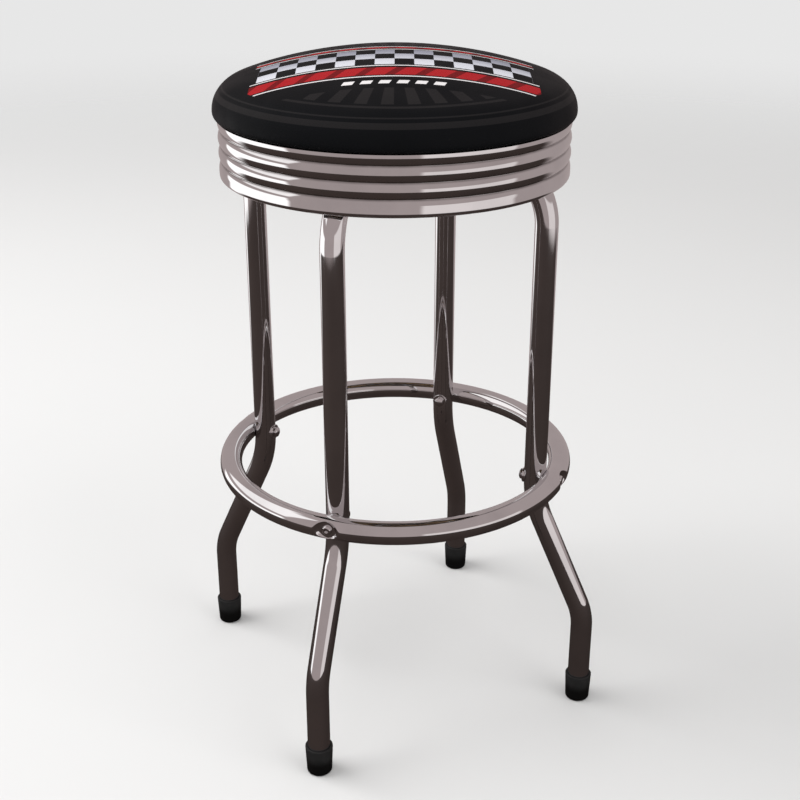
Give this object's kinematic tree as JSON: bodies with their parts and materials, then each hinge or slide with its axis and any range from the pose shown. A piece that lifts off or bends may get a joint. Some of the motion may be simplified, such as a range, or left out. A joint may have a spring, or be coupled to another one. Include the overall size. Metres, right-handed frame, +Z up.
{
  "type": "swivel bar stool",
  "caption": "Backless bar stool with a domed round cushion on a ribbed trim band that turns on a ball swivel, bent tube legs, a bolted tube foot ring and rubber feet.",
  "frame": {"origin": "on the floor, under the middle of the seat", "axes": "+Z up along the swivel's axis; the legs stand on the diagonals, -Y is the front and +X the right"},
  "size_m": [0.4149, 0.4148, 0.762],
  "materials": {
    "chrome": "polished",
    "rubber": "matte",
    "zinc_steel": "zinc plated",
    "nylon": "natural",
    "plywood": "unfinished",
    "foam": "open cell",
    "vinyl": "satin vinyl"
  },
  "bodies": {
    "base": {"leg_front_right": "chrome", "leg_back_right": "chrome", "leg_back_left": "chrome", "leg_front_left": "chrome", "foot_cap_front_right": "rubber", "foot_cap_back_right": "rubber", "foot_cap_back_left": "rubber", "foot_cap_front_left": "rubber", "foot_ring": "chrome", "ring_bolts": "chrome", "ring_washers": "chrome", "ring_dome_nuts": "chrome", "swivel_bottom_plate": "zinc_steel", "weld_nuts": "zinc_steel", "leg_bolts": "zinc_steel", "leg_washers": "zinc_steel"},
    "ball_ring": {"bearing_balls": "zinc_steel", "ball_cage": "zinc_steel"},
    "seat": {"swivel_top_plate": "zinc_steel", "pivot_rivet": "zinc_steel", "pivot_washer": "nylon", "seat_board": "plywood", "board_t_nuts": "zinc_steel", "plate_screws": "zinc_steel", "seat_foam": "foam", "seat_cover": "vinyl", "trim_band": "chrome", "band_screws": "zinc_steel"}
  },
  "joints": [
    {"name": "seat_swivel", "type": "hinge", "parent": "base", "child": "seat", "pos_m": [0, 0, 0.6853], "axis": [0, 0, 1], "continuous": true},
    {"name": "ball_ring_roll", "type": "hinge", "parent": "base", "child": "ball_ring", "pos_m": [0, 0, 0.6853], "axis": [0, 0, 1], "continuous": true}
  ],
  "couplings": [
    {"joint": "ball_ring_roll", "follows": "seat_swivel", "ratio": 0.5}
  ]
}
